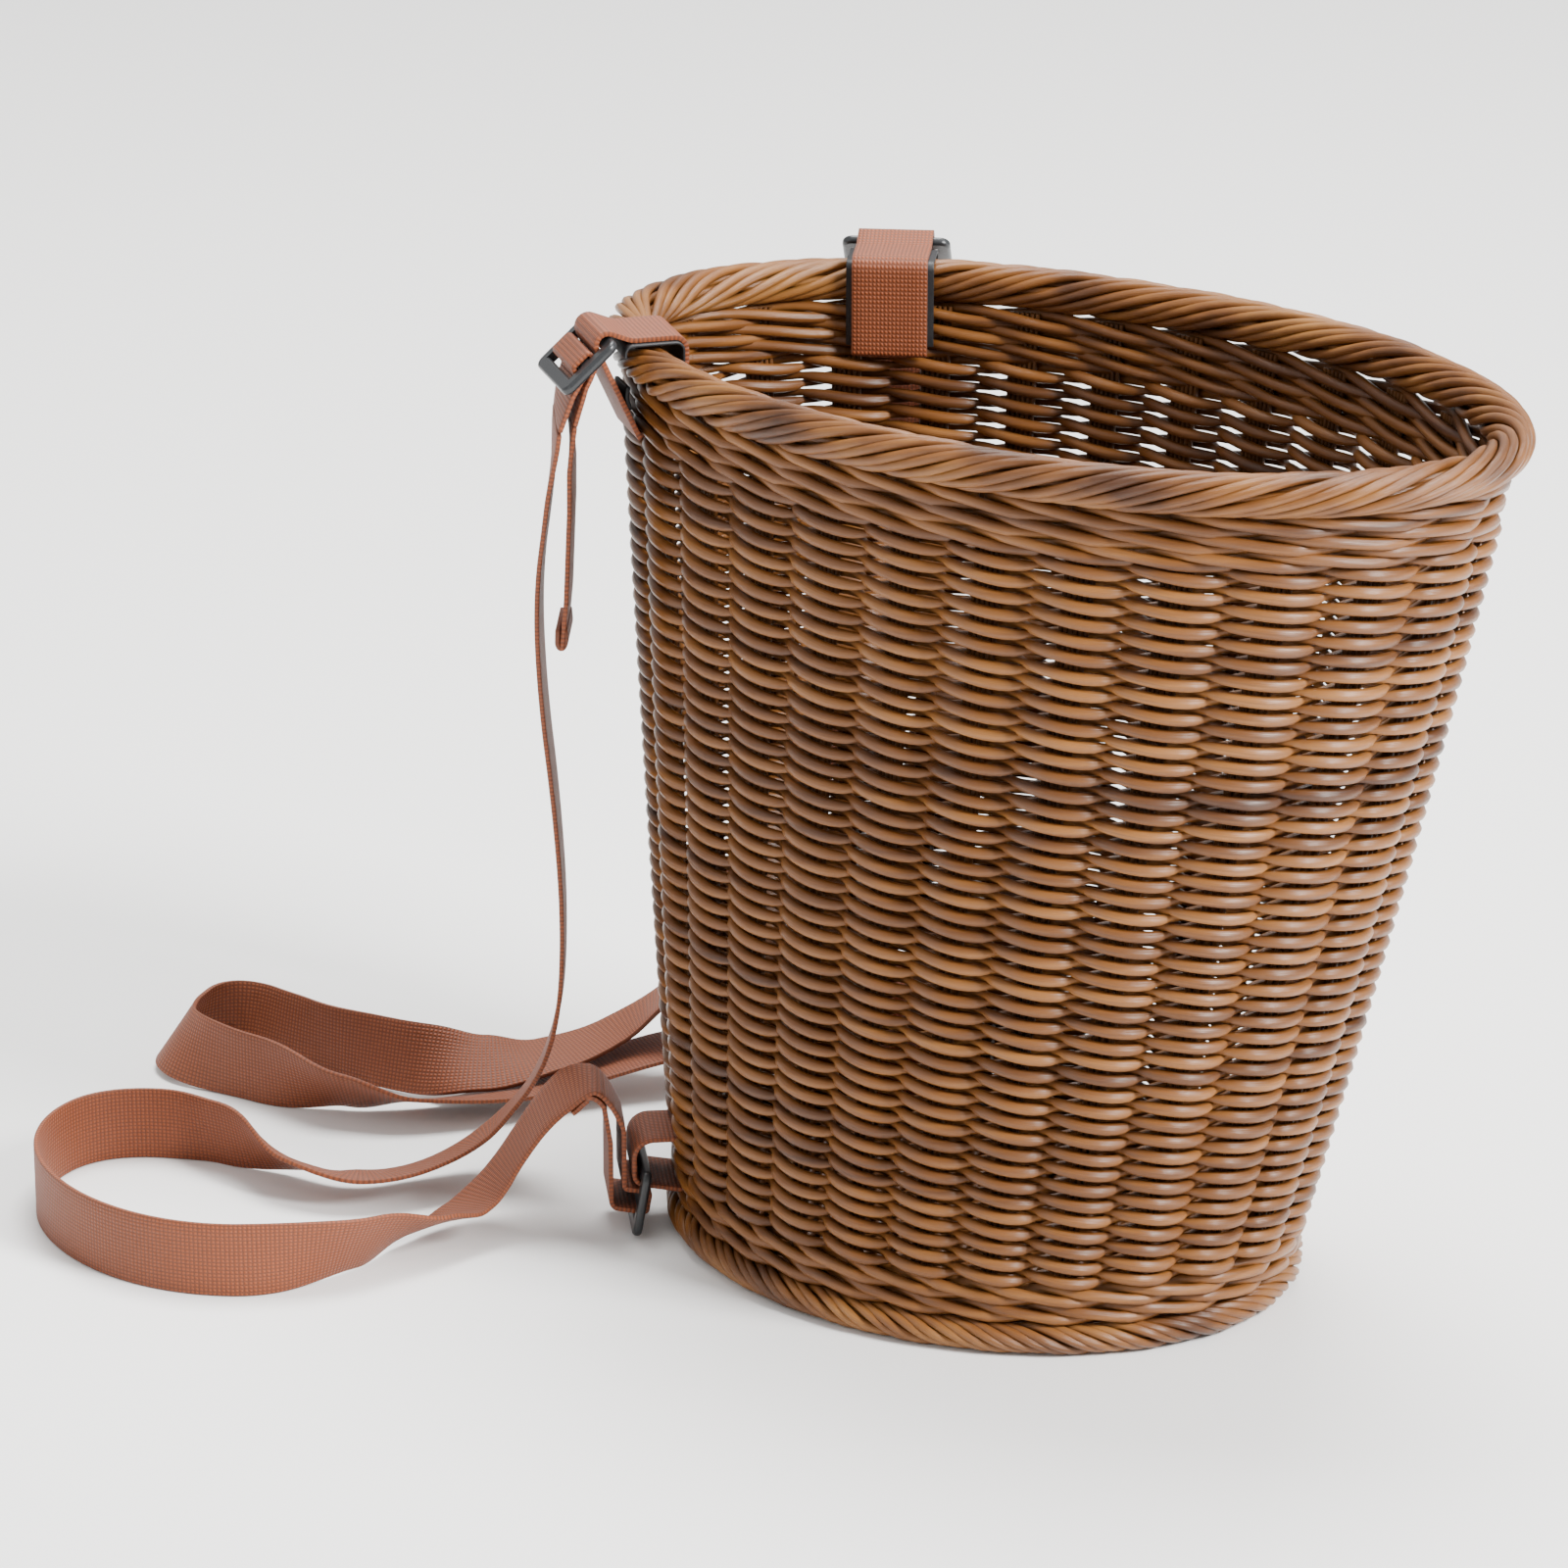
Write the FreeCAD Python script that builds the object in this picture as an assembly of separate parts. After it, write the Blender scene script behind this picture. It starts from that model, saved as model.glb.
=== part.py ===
import FreeCAD, Part
import math
import os
from FreeCAD import Vector

# Woven handlebar and back basket with two webbing straps, in millimetres.
# Origin: on the floor under the centre of the rim border. +Z up, -Y to the front, +Y to the
# back where the straps are fastened, +X to the right-hand strap.

# ---- driving dimensions ----
height = 305.0              # floor to the top of the rim border
rim_depth = 332.0           # rim border outside, front to back
rim_width = 206.0           # rim border outside, side to side
rim_shift = 27.5            # how far the rim's centre stands in front of the foot's centre
foot_depth = 224.0          # foot border outside, front to back
foot_width = 182.0          # foot border outside, side to side
wall_swell = 0.03           # share by which the wall bulges over a straight line at mid height

border_wide = 15.2          # rim border, radially
border_tall = 15.0
foot_thick = 11.0           # foot border, radially and in height
lower_waling_tall = 13.0
upper_waling_tall = 17.0

stake_count = 26
rod_diameter = 1.7          # rods of which each stake is bundled
rods_at_foot = 3            # rods side by side at the foot, in two layers
rods_at_rim = 6             # rods side by side where the bundle spreads under the border
weaver_thick = 3.3          # one layer of weaving, radially
running_gap = 0.3           # between pieces that lie on each other

base_height = 1.6           # underside of the base above the floor
base_layer = 2.8            # one layer of the base weaving
base_stick = 3.0            # thickness of the sticks between the two layers
base_stick_wide = 6.0
base_stick_pitch = 22.0

anchor_bay = 2.5            # the straps pass the wall midway between stakes 2 and 3 from the back
webbing_wide = 25.0
webbing_thick = 1.6
gathered_wide = 13.0        # webbing where it is drawn through the weave between two stakes
liner_wide = 29.0
liner_thick = 0.8

buckle_wide = 36.0          # three-bar slide, along its bars
buckle_thick = 3.0
outer_bar = 4.8             # width of the two end bars
centre_bar = 4.2
slot_gap = 4.6              # opening between two bars
slot_long = 27.5
buckle_corner = 3.5
buckle_edge = 1.2           # rounding along the bars

upper_bar_out = 14.0        # upper buckle's inner bar, outwards from the middle of the rim border
upper_bar_up = 1.3          # and above the top of the border
upper_tilt = -42.0          # slope of the upper buckle, outwards and down
lower_bar_out = 15.0        # lower buckle's inner bar, outwards from the middle of the wall
lower_bar_height = 21.5
lower_tilt = -80.0
lower_anchor_top = 33.6     # where the lower webbing leaves the wall

upper_leg_end = 281.0       # height at which the strap's own cord starts below the upper buckle
lower_leg_end = 36.0        # and at which it ends above the lower buckle
strap_diameter = 6.9        # round tube of the same section as webbing 25 x 1.5
strap_gap = 0.9             # between the tube's end and the webbing it carries on

# The straps lie as they fall: route points chosen by hand, from the upper to the lower buckle.
strap_left_route = [
    (-86.4, 133, 281), (-85.5, 137.5, 255), (-83, 145.5, 222), (-77, 149.5, 184),
    (-69.5, 150.5, 142), (-64, 152.5, 101), (-60, 158.5, 64), (-59, 170.5, 37), (-68, 183.5, 17),
    (-88, 191.5, 9), (-109, 201.5, 8), (-119, 219.5, 10), (-117, 249.5, 12.7), (-123, 281.5, 12.7),
    (-143, 299.5, 12.7), (-170, 294.5, 12.7), (-194, 273.5, 12.7), (-208, 239.5, 12.7),
    (-207, 204.5, 12.7), (-191, 175.5, 12.7), (-162, 160.5, 12.7), (-128, 159.5, 10),
    (-94, 167.5, 7), (-68, 176.5, 12), (-56, 173.5, 25), (-55, 159.5, 40), (-59, 143.5, 49),
    (-66.2, 128.5, 51), (-67.5, 125.5, 36)]
strap_right_route = [
    (86.4, 133, 281), (90, 140.5, 251), (91, 149.5, 215), (88, 155.5, 177), (80, 159.5, 138),
    (66, 165.5, 98), (51, 177.5, 62), (43, 193.5, 36), (30, 208.5, 19), (8, 218.5, 13),
    (-14, 230.5, 12.7), (-27, 251.5, 12.7), (-32.5, 281.5, 12.7), (-34.5, 308, 12.7),
    (-34, 329.5, 12.7), (-44, 341, 12.7), (-60, 341, 12.7), (-70.5, 329.5, 12.7),
    (-71, 303, 12.7), (-67, 267.5, 12.7), (-55, 244.5, 12.7), (-36, 228.5, 9), (-15, 218.5, 8),
    (8, 208.5, 11), (28, 194.5, 20), (42, 174.5, 35), (54, 155.5, 47), (65.5, 130.5, 51),
    (67.5, 125.5, 36)]

# ---- sizes that follow ----
half_gap = rod_diameter + 0.4                   # middle of the wall to either layer of weaving
wall_half = half_gap + weaver_thick             # middle of the wall to its outer face
rim_inset = border_wide / 2 + 2.5               # border's outside to the middle of the wall
foot_inset = foot_thick / 2 + 2.9
border_bottom = height - border_tall
waling_bottom = border_bottom - upper_waling_tall
weave_bottom = foot_thick + lower_waling_tall
stations_per_turn = 720
buckle_long = 2 * outer_bar + centre_bar + 2 * slot_gap
slot_middle = outer_bar / 2 + slot_gap / 2      # inner bar's middle to the first slot's middle
second_slot = slot_middle + slot_gap + centre_bar
strap_in_slot = slot_middle + 1.0               # the strap lies in the outer part of each slot
anchor_share = anchor_bay / stake_count
bar_reach = buckle_edge + math.hypot(outer_bar / 2 - buckle_edge, buckle_thick / 2 - buckle_edge)
wrap_radius = bar_reach + 0.4 + webbing_thick / 2   # webbing's middle round an inner bar
upper_bar_height = height + upper_bar_up


def middle_of_wall(z, offset=0.0):
    """Half width, half depth and centre of the wall's oval at height z."""
    share = z / height
    reach = share + wall_swell * 4 * share * (1 - share)
    foot_rx, foot_ry = foot_width / 2 - foot_inset, foot_depth / 2 - foot_inset
    rim_rx, rim_ry = rim_width / 2 - rim_inset, rim_depth / 2 - rim_inset
    return (foot_rx + (rim_rx - foot_rx) * reach + offset,
            foot_ry + (rim_ry - foot_ry) * reach + offset,
            rim_shift * (1 - reach))


def oval(z, offset):
    rx, ry, cy = middle_of_wall(z, offset)
    centre = Vector(0, cy, z)
    if ry >= rx:
        curve = Part.Ellipse(Vector(0, cy + ry, z), Vector(rx, cy, z), centre)
    else:
        curve = Part.Ellipse(Vector(rx, cy, z), Vector(0, cy + ry, z), centre)
    return Part.Wire([curve.toShape()])


def lofted(levels):
    """Solid through ovals given as (z, offset from the middle of the wall)."""
    return Part.makeLoft([oval(z, offset) for z, offset in levels], True, True)


def band(z0, z1, inner, outer, steps=3):
    """Ring of wall between two heights and two offsets."""
    heights = [z0 + (z1 - z0) * i / steps for i in range(steps + 1)]
    past = [z0 - 1.0] + heights[1:-1] + [z1 + 1.0]
    return lofted([(z, outer) for z in heights]).cut(lofted([(z, inner) for z in past]))


def rounded_ring(z0, z1, middle, half):
    """Border ring: its section swells from 0.6 of half at the top and bottom to half."""
    shape = ((0.0, 0.55), (0.08, 0.72), (0.22, 0.9), (0.5, 1.0), (0.78, 0.9), (0.92, 0.72),
             (1.0, 0.55))
    outer = [(z0 + (z1 - z0) * s, middle + half * w) for s, w in shape]
    inner = [(z0 + (z1 - z0) * s, middle - half * w) for s, w in shape]
    return lofted(outer).cut(lofted(inner))


def station(z, share, offset=0.0):
    """Point of the wall at height z that lies share of the girth clockwise from the back,
    with the outward normal there."""
    rx, ry, cy = middle_of_wall(z, offset)
    turn = 2 * math.pi / stations_per_turn
    lengths = [0.0]
    for i in range(stations_per_turn):
        a, b = i * turn, (i + 1) * turn
        lengths.append(lengths[-1] + math.hypot(rx * (math.sin(b) - math.sin(a)),
                                                ry * (math.cos(b) - math.cos(a))))
    wanted = (share % 1.0) * lengths[-1]
    i = next(k for k in range(1, len(lengths)) if lengths[k] >= wanted)
    angle = (i - 1 + (wanted - lengths[i - 1]) / (lengths[i] - lengths[i - 1])) * turn
    normal = Vector(math.sin(angle) / rx, math.cos(angle) / ry, 0).normalize()
    return Vector(rx * math.sin(angle), ry * math.cos(angle) + cy, z), normal


def save(name, shape):
    shape.exportStep("parts/" + name + ".step")
    print(name, len(shape.Solids), "solids", round(shape.Volume / 1000, 2), "cm3")


class Anchor:
    """Upright plane square to the wall in which one webbing loop and its buckle lie.
    n is measured outwards, z upwards, and t sideways along the wall."""

    def __init__(self, side, z, offset):
        share = anchor_share if side > 0 else 1 - anchor_share
        self.middle, self.out = station(z, share)
        self.middle = self.middle + self.out * offset
        self.side_way = Vector(0, 0, 1).cross(self.out)

    def point(self, n, z, t=0.0):
        flat = self.middle + self.out * n + self.side_way * t
        return Vector(flat.x, flat.y, z)

    def prism(self, outline, wide):
        """Outline in the plane, drawn out sideways to a width, centred."""
        return outline.translated(self.side_way * (-wide / 2)).extrude(self.side_way * wide)

    def box(self, n0, n1, z0, z1, wide):
        corners = [self.point(n, z) for n, z in ((n0, z0), (n1, z0), (n1, z1), (n0, z1), (n0, z0))]
        return self.prism(Part.Face(Part.makePolygon(corners)), wide)


def corner_arc(before, at, after, radius):
    """Tangent points and centre of the arc that rounds one corner, in plane coordinates."""
    ax, ay = before[0] - at[0], before[1] - at[1]
    bx, by = after[0] - at[0], after[1] - at[1]
    la, lb = math.hypot(ax, ay), math.hypot(bx, by)
    ax, ay, bx, by = ax / la, ay / la, bx / lb, by / lb
    half = math.acos(max(-1.0, min(1.0, ax * bx + ay * by))) / 2
    reach = radius / math.tan(half)
    mx, my = ax + bx, ay + by
    lm = math.hypot(mx, my)
    far = radius / math.sin(half)
    turn = 1 if ax * by - ay * bx > 0 else -1
    return ((at[0] + ax * reach, at[1] + ay * reach), (at[0] + bx * reach, at[1] + by * reach),
            (at[0] + mx / lm * far, at[1] + my / lm * far), turn)


def strip_side(points, radii, shift, closed, anchor):
    """Edges of one side of a bent strip: its middle line moved sideways by shift."""
    count = len(points)
    corners = range(count) if closed else range(1, count - 1)
    rounds = {}
    for i in corners:
        rounds[i] = corner_arc(points[i - 1], points[i], points[(i + 1) % count], radii[i])

    def moved(p, a, b):
        length = math.hypot(b[0] - a[0], b[1] - a[1])
        return (p[0] - (b[1] - a[1]) / length * shift, p[1] + (b[0] - a[0]) / length * shift)

    edges = []
    for i in range(count if closed else count - 1):
        j = (i + 1) % count
        start = rounds[i][1] if i in rounds else points[i]
        end = rounds[j][0] if j in rounds else points[j]
        p, q = moved(start, points[i], points[j]), moved(end, points[i], points[j])
        edges.append(Part.LineSegment(anchor.point(*p), anchor.point(*q)).toShape())
        if j in rounds:
            first, last, centre, turn = rounds[j]
            radius = radii[j] + turn * shift
            k = (j + 1) % count
            r = moved(last, points[j], points[k])
            mx, my = (q[0] + r[0]) / 2 - centre[0], (q[1] + r[1]) / 2 - centre[1]
            lm = math.hypot(mx, my)
            top = (centre[0] + mx / lm * radius, centre[1] + my / lm * radius)
            edges.append(Part.Arc(anchor.point(*q), anchor.point(*top),
                                  anchor.point(*r)).toShape())
    return edges


def strip(anchor, points, radii, thick, wide, closed=False):
    """Band of webbing bent along points with rounded corners, in an anchor's plane."""
    one = strip_side(points, radii, thick / 2, closed, anchor)
    two = strip_side(points, radii, -thick / 2, closed, anchor)
    if closed:
        faces = [Part.Face(Part.Wire(Part.__sortEdges__(side))) for side in (one, two)]
        faces.sort(key=lambda f: f.Area)
        return anchor.prism(faces[1].cut(faces[0]), wide)
    ends = []
    for k, corner in ((0, 0), (-1, 1)):
        a = one[k].Vertexes[corner].Point
        b = two[k].Vertexes[corner].Point
        ends.append(Part.LineSegment(a, b).toShape())
    return anchor.prism(Part.Face(Part.Wire(Part.__sortEdges__(one + two + ends))), wide)


# ---- basket: borders, walings, weave, stakes and base ----
def stake(share):
    """One bundle of rods, flat and deep at the foot, spread into one row under the border."""
    sections = []
    steps = 4
    z0, z1 = foot_thick + running_gap, border_bottom - running_gap
    for i in range(steps + 1):
        s = i / steps
        z = z0 + (z1 - z0) * s
        wide = rod_diameter * (rods_at_foot + (rods_at_rim - rods_at_foot) * s)
        deep = rod_diameter * (2 - s)
        at, out = station(z, share)
        side = Vector(0, 0, 1).cross(out)
        corners = [at + out * (deep / 2 * a) + side * (wide / 2 * b)
                   for a, b in ((1, 1), (1, -1), (-1, -1), (-1, 1), (1, 1))]
        sections.append(Part.makePolygon(corners))
    return Part.makeLoft(sections, True, True)


def base_rim(offset, z0, z1):
    """Flat oval plate that fits inside the foot border."""
    inner = foot_thick / 2
    middle = foot_inset - foot_thick / 2
    rx, ry, _ = middle_of_wall(0, middle - inner - offset)
    cy = rim_shift
    if ry >= rx:
        curve = Part.Ellipse(Vector(0, cy + ry, z0), Vector(rx, cy, z0), Vector(0, cy, z0))
    else:
        curve = Part.Ellipse(Vector(rx, cy, z0), Vector(0, cy + ry, z0), Vector(0, cy, z0))
    return Part.Face(Part.Wire([curve.toShape()])).extrude(Vector(0, 0, z1 - z0)), rx, ry


def base_pieces():
    z = base_height
    lower, rx, ry = base_rim(0.5, z, z + base_layer)
    z += base_layer + running_gap
    sticks = []
    count = int((rx - base_stick_wide) / base_stick_pitch)
    for i in range(-count, count + 1):
        x = i * base_stick_pitch
        reach = ry * math.sqrt(1 - ((abs(x) + base_stick_wide / 2) / rx) ** 2) - running_gap
        sticks.append(Part.makeBox(base_stick_wide, 2 * reach, base_stick,
                                   Vector(x - base_stick_wide / 2, rim_shift - reach, z)))
    z += base_stick + running_gap
    upper = base_rim(0.5, z, z + base_layer)[0]
    return Part.makeCompound(sticks), Part.makeCompound([lower, upper])


# ---- straps ----
def buckle(anchor, bar_out, bar_height, tilt):
    """Three-bar slide: plate with two slots, its inner bar on the webbing loop."""
    half = buckle_wide / 2
    plate = Part.makeBox(buckle_long, buckle_wide, buckle_thick,
                         Vector(-outer_bar / 2, -half, -buckle_thick / 2))
    upright = [e for e in plate.Edges if abs(e.tangentAt(e.FirstParameter).z) > 0.9]
    plate = plate.makeFillet(buckle_corner, upright)
    for middle in (slot_middle, second_slot):
        plate = plate.cut(Part.makeBox(slot_gap, slot_long, 2 * buckle_thick,
                                       Vector(middle - slot_gap / 2, -slot_long / 2, -buckle_thick)))
    along_bars = [e for e in plate.Edges if abs(e.tangentAt(e.FirstParameter).y) > 0.99]
    plate = plate.makeFillet(buckle_edge, along_bars)
    angle = math.radians(tilt)
    along = anchor.out * math.cos(angle) + Vector(0, 0, math.sin(angle))
    across = anchor.side_way
    square = along.cross(across)
    at = anchor.point(bar_out, bar_height)
    place = FreeCAD.Matrix(along.x, across.x, square.x, at.x,
                           along.y, across.y, square.y, at.y,
                           along.z, across.z, square.z, at.z,
                           0, 0, 0, 1)
    return plate.transformed(place, True)


def on_buckle(bar_out, bar_height, tilt, u, v):
    """Plane coordinates of a point u along a buckle from its inner bar and v above it."""
    angle = math.radians(tilt)
    return (bar_out + u * math.cos(angle) - v * math.sin(angle),
            bar_height + u * math.sin(angle) + v * math.cos(angle))


def through_slot(place, u, n):
    """Point at distance n out on the line square to a buckle's plate at u."""
    angle = math.radians(place[2])
    v = (place[0] + u * math.cos(angle) - n) / math.sin(angle)
    return on_buckle(*place, u, v)


def round_bar(start, bar, radius, end):
    """Corner whose arc of that radius is centred on the bar, between two points."""
    def tangent(point, side):
        across, up = bar[0] - point[0], bar[1] - point[1]
        return math.atan2(up, across) + side * math.asin(radius / math.hypot(across, up))

    a, b = tangent(start, 1), tangent(end, -1)
    gap_x, gap_z = end[0] - start[0], end[1] - start[1]
    run = (gap_x * math.sin(b) - gap_z * math.cos(b)) / math.sin(b - a)
    return (start[0] + run * math.cos(a), start[1] + run * math.sin(a))


def upper_pieces(side):
    anchor = Anchor(side, height - border_tall / 2, rim_inset - border_wide / 2)
    slot_height = waling_bottom + running_gap + webbing_thick / 2 + 0.1
    inside = -(rim_inset - border_wide / 2 + 1.7 + wall_half) - running_gap
    over = height + running_gap
    half_border = border_wide / 2
    # liner: an upside-down U over the border, under the webbing
    liner_in = inside - liner_thick / 2
    liner_out = half_border + running_gap + liner_thick / 2
    liner = strip(anchor, [(liner_in, slot_height + 3.2), (liner_in, over + liner_thick / 2),
                           (liner_out, over + liner_thick / 2), (liner_out, height - 6),
                           (liner_out - 3.0, height - border_tall - 4.5)],
                  [0, 2.5, 2.5, 12, 0], liner_thick, liner_wide)
    # webbing: down inside, out through the wall, up round the buckle's inner bar
    web_in = inside - liner_thick - running_gap / 2 - webbing_thick / 2
    web_top = over + liner_thick + running_gap / 2 + webbing_thick / 2
    place = (upper_bar_out, upper_bar_height, upper_tilt)
    rise, foot = (upper_bar_out - 8.0, web_top), (3.4, slot_height)
    loop = [(web_in, slot_height), (web_in, web_top), rise,
            round_bar(rise, place[:2], wrap_radius, foot), foot]
    webbing = strip(anchor, loop, [1.6, 3.8, 6.0, wrap_radius, 2.4], webbing_thick,
                    webbing_wide, True)
    # drawn together where it passes the wall between two stakes
    for way in (-1, 1):
        spare = webbing_wide
        cheek = anchor.box(web_in + webbing_thick + 0.3, 4.2, slot_height - 1.6,
                           slot_height + 1.6, spare)
        webbing = webbing.cut(cheek.translated(anchor.side_way * way
                                               * (gathered_wide / 2 + spare / 2)))
    slot = anchor.box(inside - 2, 6.0, waling_bottom - 1, slot_height + webbing_thick / 2 + 0.4,
                      gathered_wide + 1.0)
    # strap over the buckle's centre bar
    u1, u2 = strap_in_slot + 0.3, second_slot - 0.4
    lift = buckle_thick / 2 + running_gap + webbing_thick / 2
    fold = [(22.8, upper_leg_end), (20.6, 292.5), on_buckle(*place, u1, -1.7),
            on_buckle(*place, u1, lift), on_buckle(*place, u2, lift),
            on_buckle(*place, u2, -2.6), (24.6, 290.0), (27.5, upper_leg_end)]
    strap_fold = strip(anchor, fold, [0, 5.0, 1.2, 1.2, 1.2, 1.6, 5.0, 0], 1.5, webbing_wide)
    # free tail of the strap with its turned end
    tail = [(22.7, upper_leg_end - strap_gap), (23.1, 252), (24.5, 222), (26.1, 206)]
    strap_tail = strip(anchor, tail, [0, 60, 60, 0], 1.5, webbing_wide)
    plate = buckle(anchor, upper_bar_out, upper_bar_height, upper_tilt)
    return anchor, liner, webbing, slot, strap_fold, strap_tail, plate


def lower_pieces(side):
    anchor = Anchor(side, 26.0, 0.0)
    web_in = -(wall_half + running_gap + webbing_thick / 2) - 1.6
    out = lower_bar_out + wrap_radius
    place = (lower_bar_out, lower_bar_height, lower_tilt)
    loop = [through_slot(place, wrap_radius, web_in), (web_in, lower_anchor_top),
            (out, lower_anchor_top), through_slot(place, wrap_radius, out)]
    webbing = strip(anchor, loop, [1.6, 1.6, 6.5, wrap_radius], webbing_thick, webbing_wide, True)
    slots = []
    low = through_slot(place, wrap_radius, 0)[1]
    for z, spread in ((lower_anchor_top, 0), (low, 1.4)):
        reach = webbing_thick / 2 + running_gap + spread
        slots.append(anchor.box(web_in - 2, wall_half + 3, z - reach, z + reach,
                                gathered_wide + 1.0))
        for way in (-1, 1):
            spare = webbing_wide
            cheek = anchor.box(web_in + webbing_thick / 2 + 0.1, wall_half + 0.9, z - 3, z + 3,
                               spare)
            webbing = webbing.cut(cheek.translated(anchor.side_way * way
                                                   * (gathered_wide / 2 + spare / 2)))
    u1, u2 = strap_in_slot + 0.2, second_slot - 0.4
    lift = buckle_thick / 2 + running_gap + webbing_thick / 2
    fold = [(22.0, lower_leg_end), through_slot(place, u1, 22.0), on_buckle(*place, u1, -lift),
            on_buckle(*place, u2, -lift), through_slot(place, u2, 26.4), (26.4, lower_leg_end - 3)]
    strap_fold = strip(anchor, fold, [0, 1.4, 1.2, 1.2, 3.0, 0], 1.5, webbing_wide)
    plate = buckle(anchor, lower_bar_out, lower_bar_height, lower_tilt)
    return anchor, webbing, slots, strap_fold, plate


def fitted(route, start, end):
    """Route moved at each end onto the buckle it leaves, fading out over five points."""
    points = [Vector(*p) for p in route]
    at_start, at_end = start - points[0], end - points[-1]
    for i in range(5):
        share = 1 - i / 5
        points[i] = points[i] + at_start * share
        points[-1 - i] = points[-1 - i] + at_end * share
    return points


def cord(points, diameter):
    """Round tube along straight runs joined by tangent arcs as large as the runs allow."""
    edges = []
    start = points[0]
    length = 0.0
    radii = []
    for a, b, c in zip(points, points[1:], points[2:]):
        back, on = (a - b), (c - b)
        shorter = min(back.Length, on.Length)
        back.normalize()
        on.normalize()
        half_turn = (math.pi - back.getAngle(on)) / 2
        reach = 0.45 * shorter
        radius = reach / math.tan(half_turn)
        first, last = b + back * reach, b + on * reach
        centre = b + (back + on).normalize() * (radius / math.cos(half_turn))
        top = centre + (b - centre).normalize() * radius
        edges.append(Part.LineSegment(start, first).toShape())
        edges.append(Part.Arc(first, top, last).toShape())
        radii.append(round(radius))
        length += (first - start).Length + 2 * half_turn * radius
        start = last
    edges.append(Part.LineSegment(start, points[-1]).toShape())
    length += (points[-1] - start).Length
    path = Part.Wire(edges)
    way = (points[1] - points[0]).normalize()
    ring = Part.Wire([Part.Circle(points[0], way, diameter / 2).toShape()])
    tube = path.makePipeShell([ring], True, True)
    plain = math.pi * diameter ** 2 / 4 * length
    print("strap radii", radii, "length", round(length), "volume ratio",
          round(tube.Volume / plain, 4))
    return tube


os.makedirs("parts", exist_ok=True)

upper = {"left": upper_pieces(-1), "right": upper_pieces(1)}
lower = {"left": lower_pieces(-1), "right": lower_pieces(1)}

foot_border = rounded_ring(0, foot_thick, foot_inset - foot_thick / 2, foot_thick / 2)
rim_border = rounded_ring(border_bottom, height, rim_inset - border_wide / 2, border_wide / 2)


def two_layers(z0, z1, steps):
    return (band(z0, z1, half_gap, wall_half, steps), band(z0, z1, -wall_half, -half_gap, steps))


lower_waling = two_layers(foot_thick + 0.1, weave_bottom, 1)
upper_waling = two_layers(waling_bottom, border_bottom - 0.1, 1)
body_weave = two_layers(weave_bottom + 0.1, waling_bottom - 0.1, 4)
for side in ("left", "right"):
    upper_waling = tuple(layer.cut(upper[side][3]) for layer in upper_waling)
    top_slot, bottom_slot = lower[side][2]
    body_weave = tuple(layer.cut(top_slot) for layer in body_weave)
    lower_waling = tuple(layer.cut(bottom_slot) for layer in lower_waling)

save("foot_border", foot_border)
save("rim_border", rim_border)
save("lower_waling", Part.makeCompound(lower_waling))
save("upper_waling", Part.makeCompound(upper_waling))
save("body_weave_outer", body_weave[0])
save("body_weave_inner", body_weave[1])
for i in range(stake_count):
    save("stake_%02d" % (i + 1), stake(i / stake_count))
sticks, base_weave = base_pieces()
save("base_sticks", sticks)
save("base_weave", base_weave)

for side in ("left", "right"):
    anchor, liner, webbing, _, fold, tail, plate = upper[side]
    save("liner_" + side, liner)
    save("anchor_webbing_upper_" + side, webbing)
    save("buckle_upper_" + side, plate)
    save("strap_fold_upper_" + side, fold)
    save("strap_tail_" + side, tail)
    anchor, webbing, _, fold, plate = lower[side]
    save("anchor_webbing_lower_" + side, webbing)
    save("buckle_lower_" + side, plate)
    save("strap_fold_lower_" + side, fold)
for side, route in (("left", strap_left_route), ("right", strap_right_route)):
    start = upper[side][0].point(27.5, upper_leg_end - 1.5 * strap_gap)
    end = lower[side][0].point(22.0, lower_leg_end + 2 * strap_gap)
    save("strap_" + side, cord(fitted(route, start, end), strap_diameter))
    print("strap", side, "from", start, "to", end)

for side, sign in (("left", -1), ("right", 1)):
    for name, anchor, n, z in (("upper", upper[side][0], upper_bar_out, upper_bar_height),
                               ("lower", lower[side][0], lower_bar_out, lower_bar_height)):
        print(name, side, "bar at", anchor.point(n, z), "out", anchor.out, "along", anchor.side_way)
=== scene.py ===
# A tall oval basket woven from resin strands, with two webbing shoulder straps on three-bar slides.
from math import cos, sin, tan, pi, radians, hypot, floor
import bpy
import bmesh
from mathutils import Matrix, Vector


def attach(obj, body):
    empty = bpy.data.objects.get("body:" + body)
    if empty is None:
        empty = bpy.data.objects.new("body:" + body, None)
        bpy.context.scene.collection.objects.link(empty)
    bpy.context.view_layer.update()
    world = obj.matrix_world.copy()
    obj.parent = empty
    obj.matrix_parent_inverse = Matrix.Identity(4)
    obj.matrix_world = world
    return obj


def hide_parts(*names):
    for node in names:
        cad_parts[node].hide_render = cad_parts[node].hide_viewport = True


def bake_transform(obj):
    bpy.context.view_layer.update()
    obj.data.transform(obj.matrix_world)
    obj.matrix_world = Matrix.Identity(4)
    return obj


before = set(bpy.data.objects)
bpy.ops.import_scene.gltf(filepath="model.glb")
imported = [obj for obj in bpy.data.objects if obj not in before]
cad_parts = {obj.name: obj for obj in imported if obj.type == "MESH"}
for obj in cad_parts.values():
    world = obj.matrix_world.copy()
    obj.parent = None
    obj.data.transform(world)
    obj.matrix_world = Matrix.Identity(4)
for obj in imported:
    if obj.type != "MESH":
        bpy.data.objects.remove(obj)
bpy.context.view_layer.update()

mm = 0.001

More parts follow.
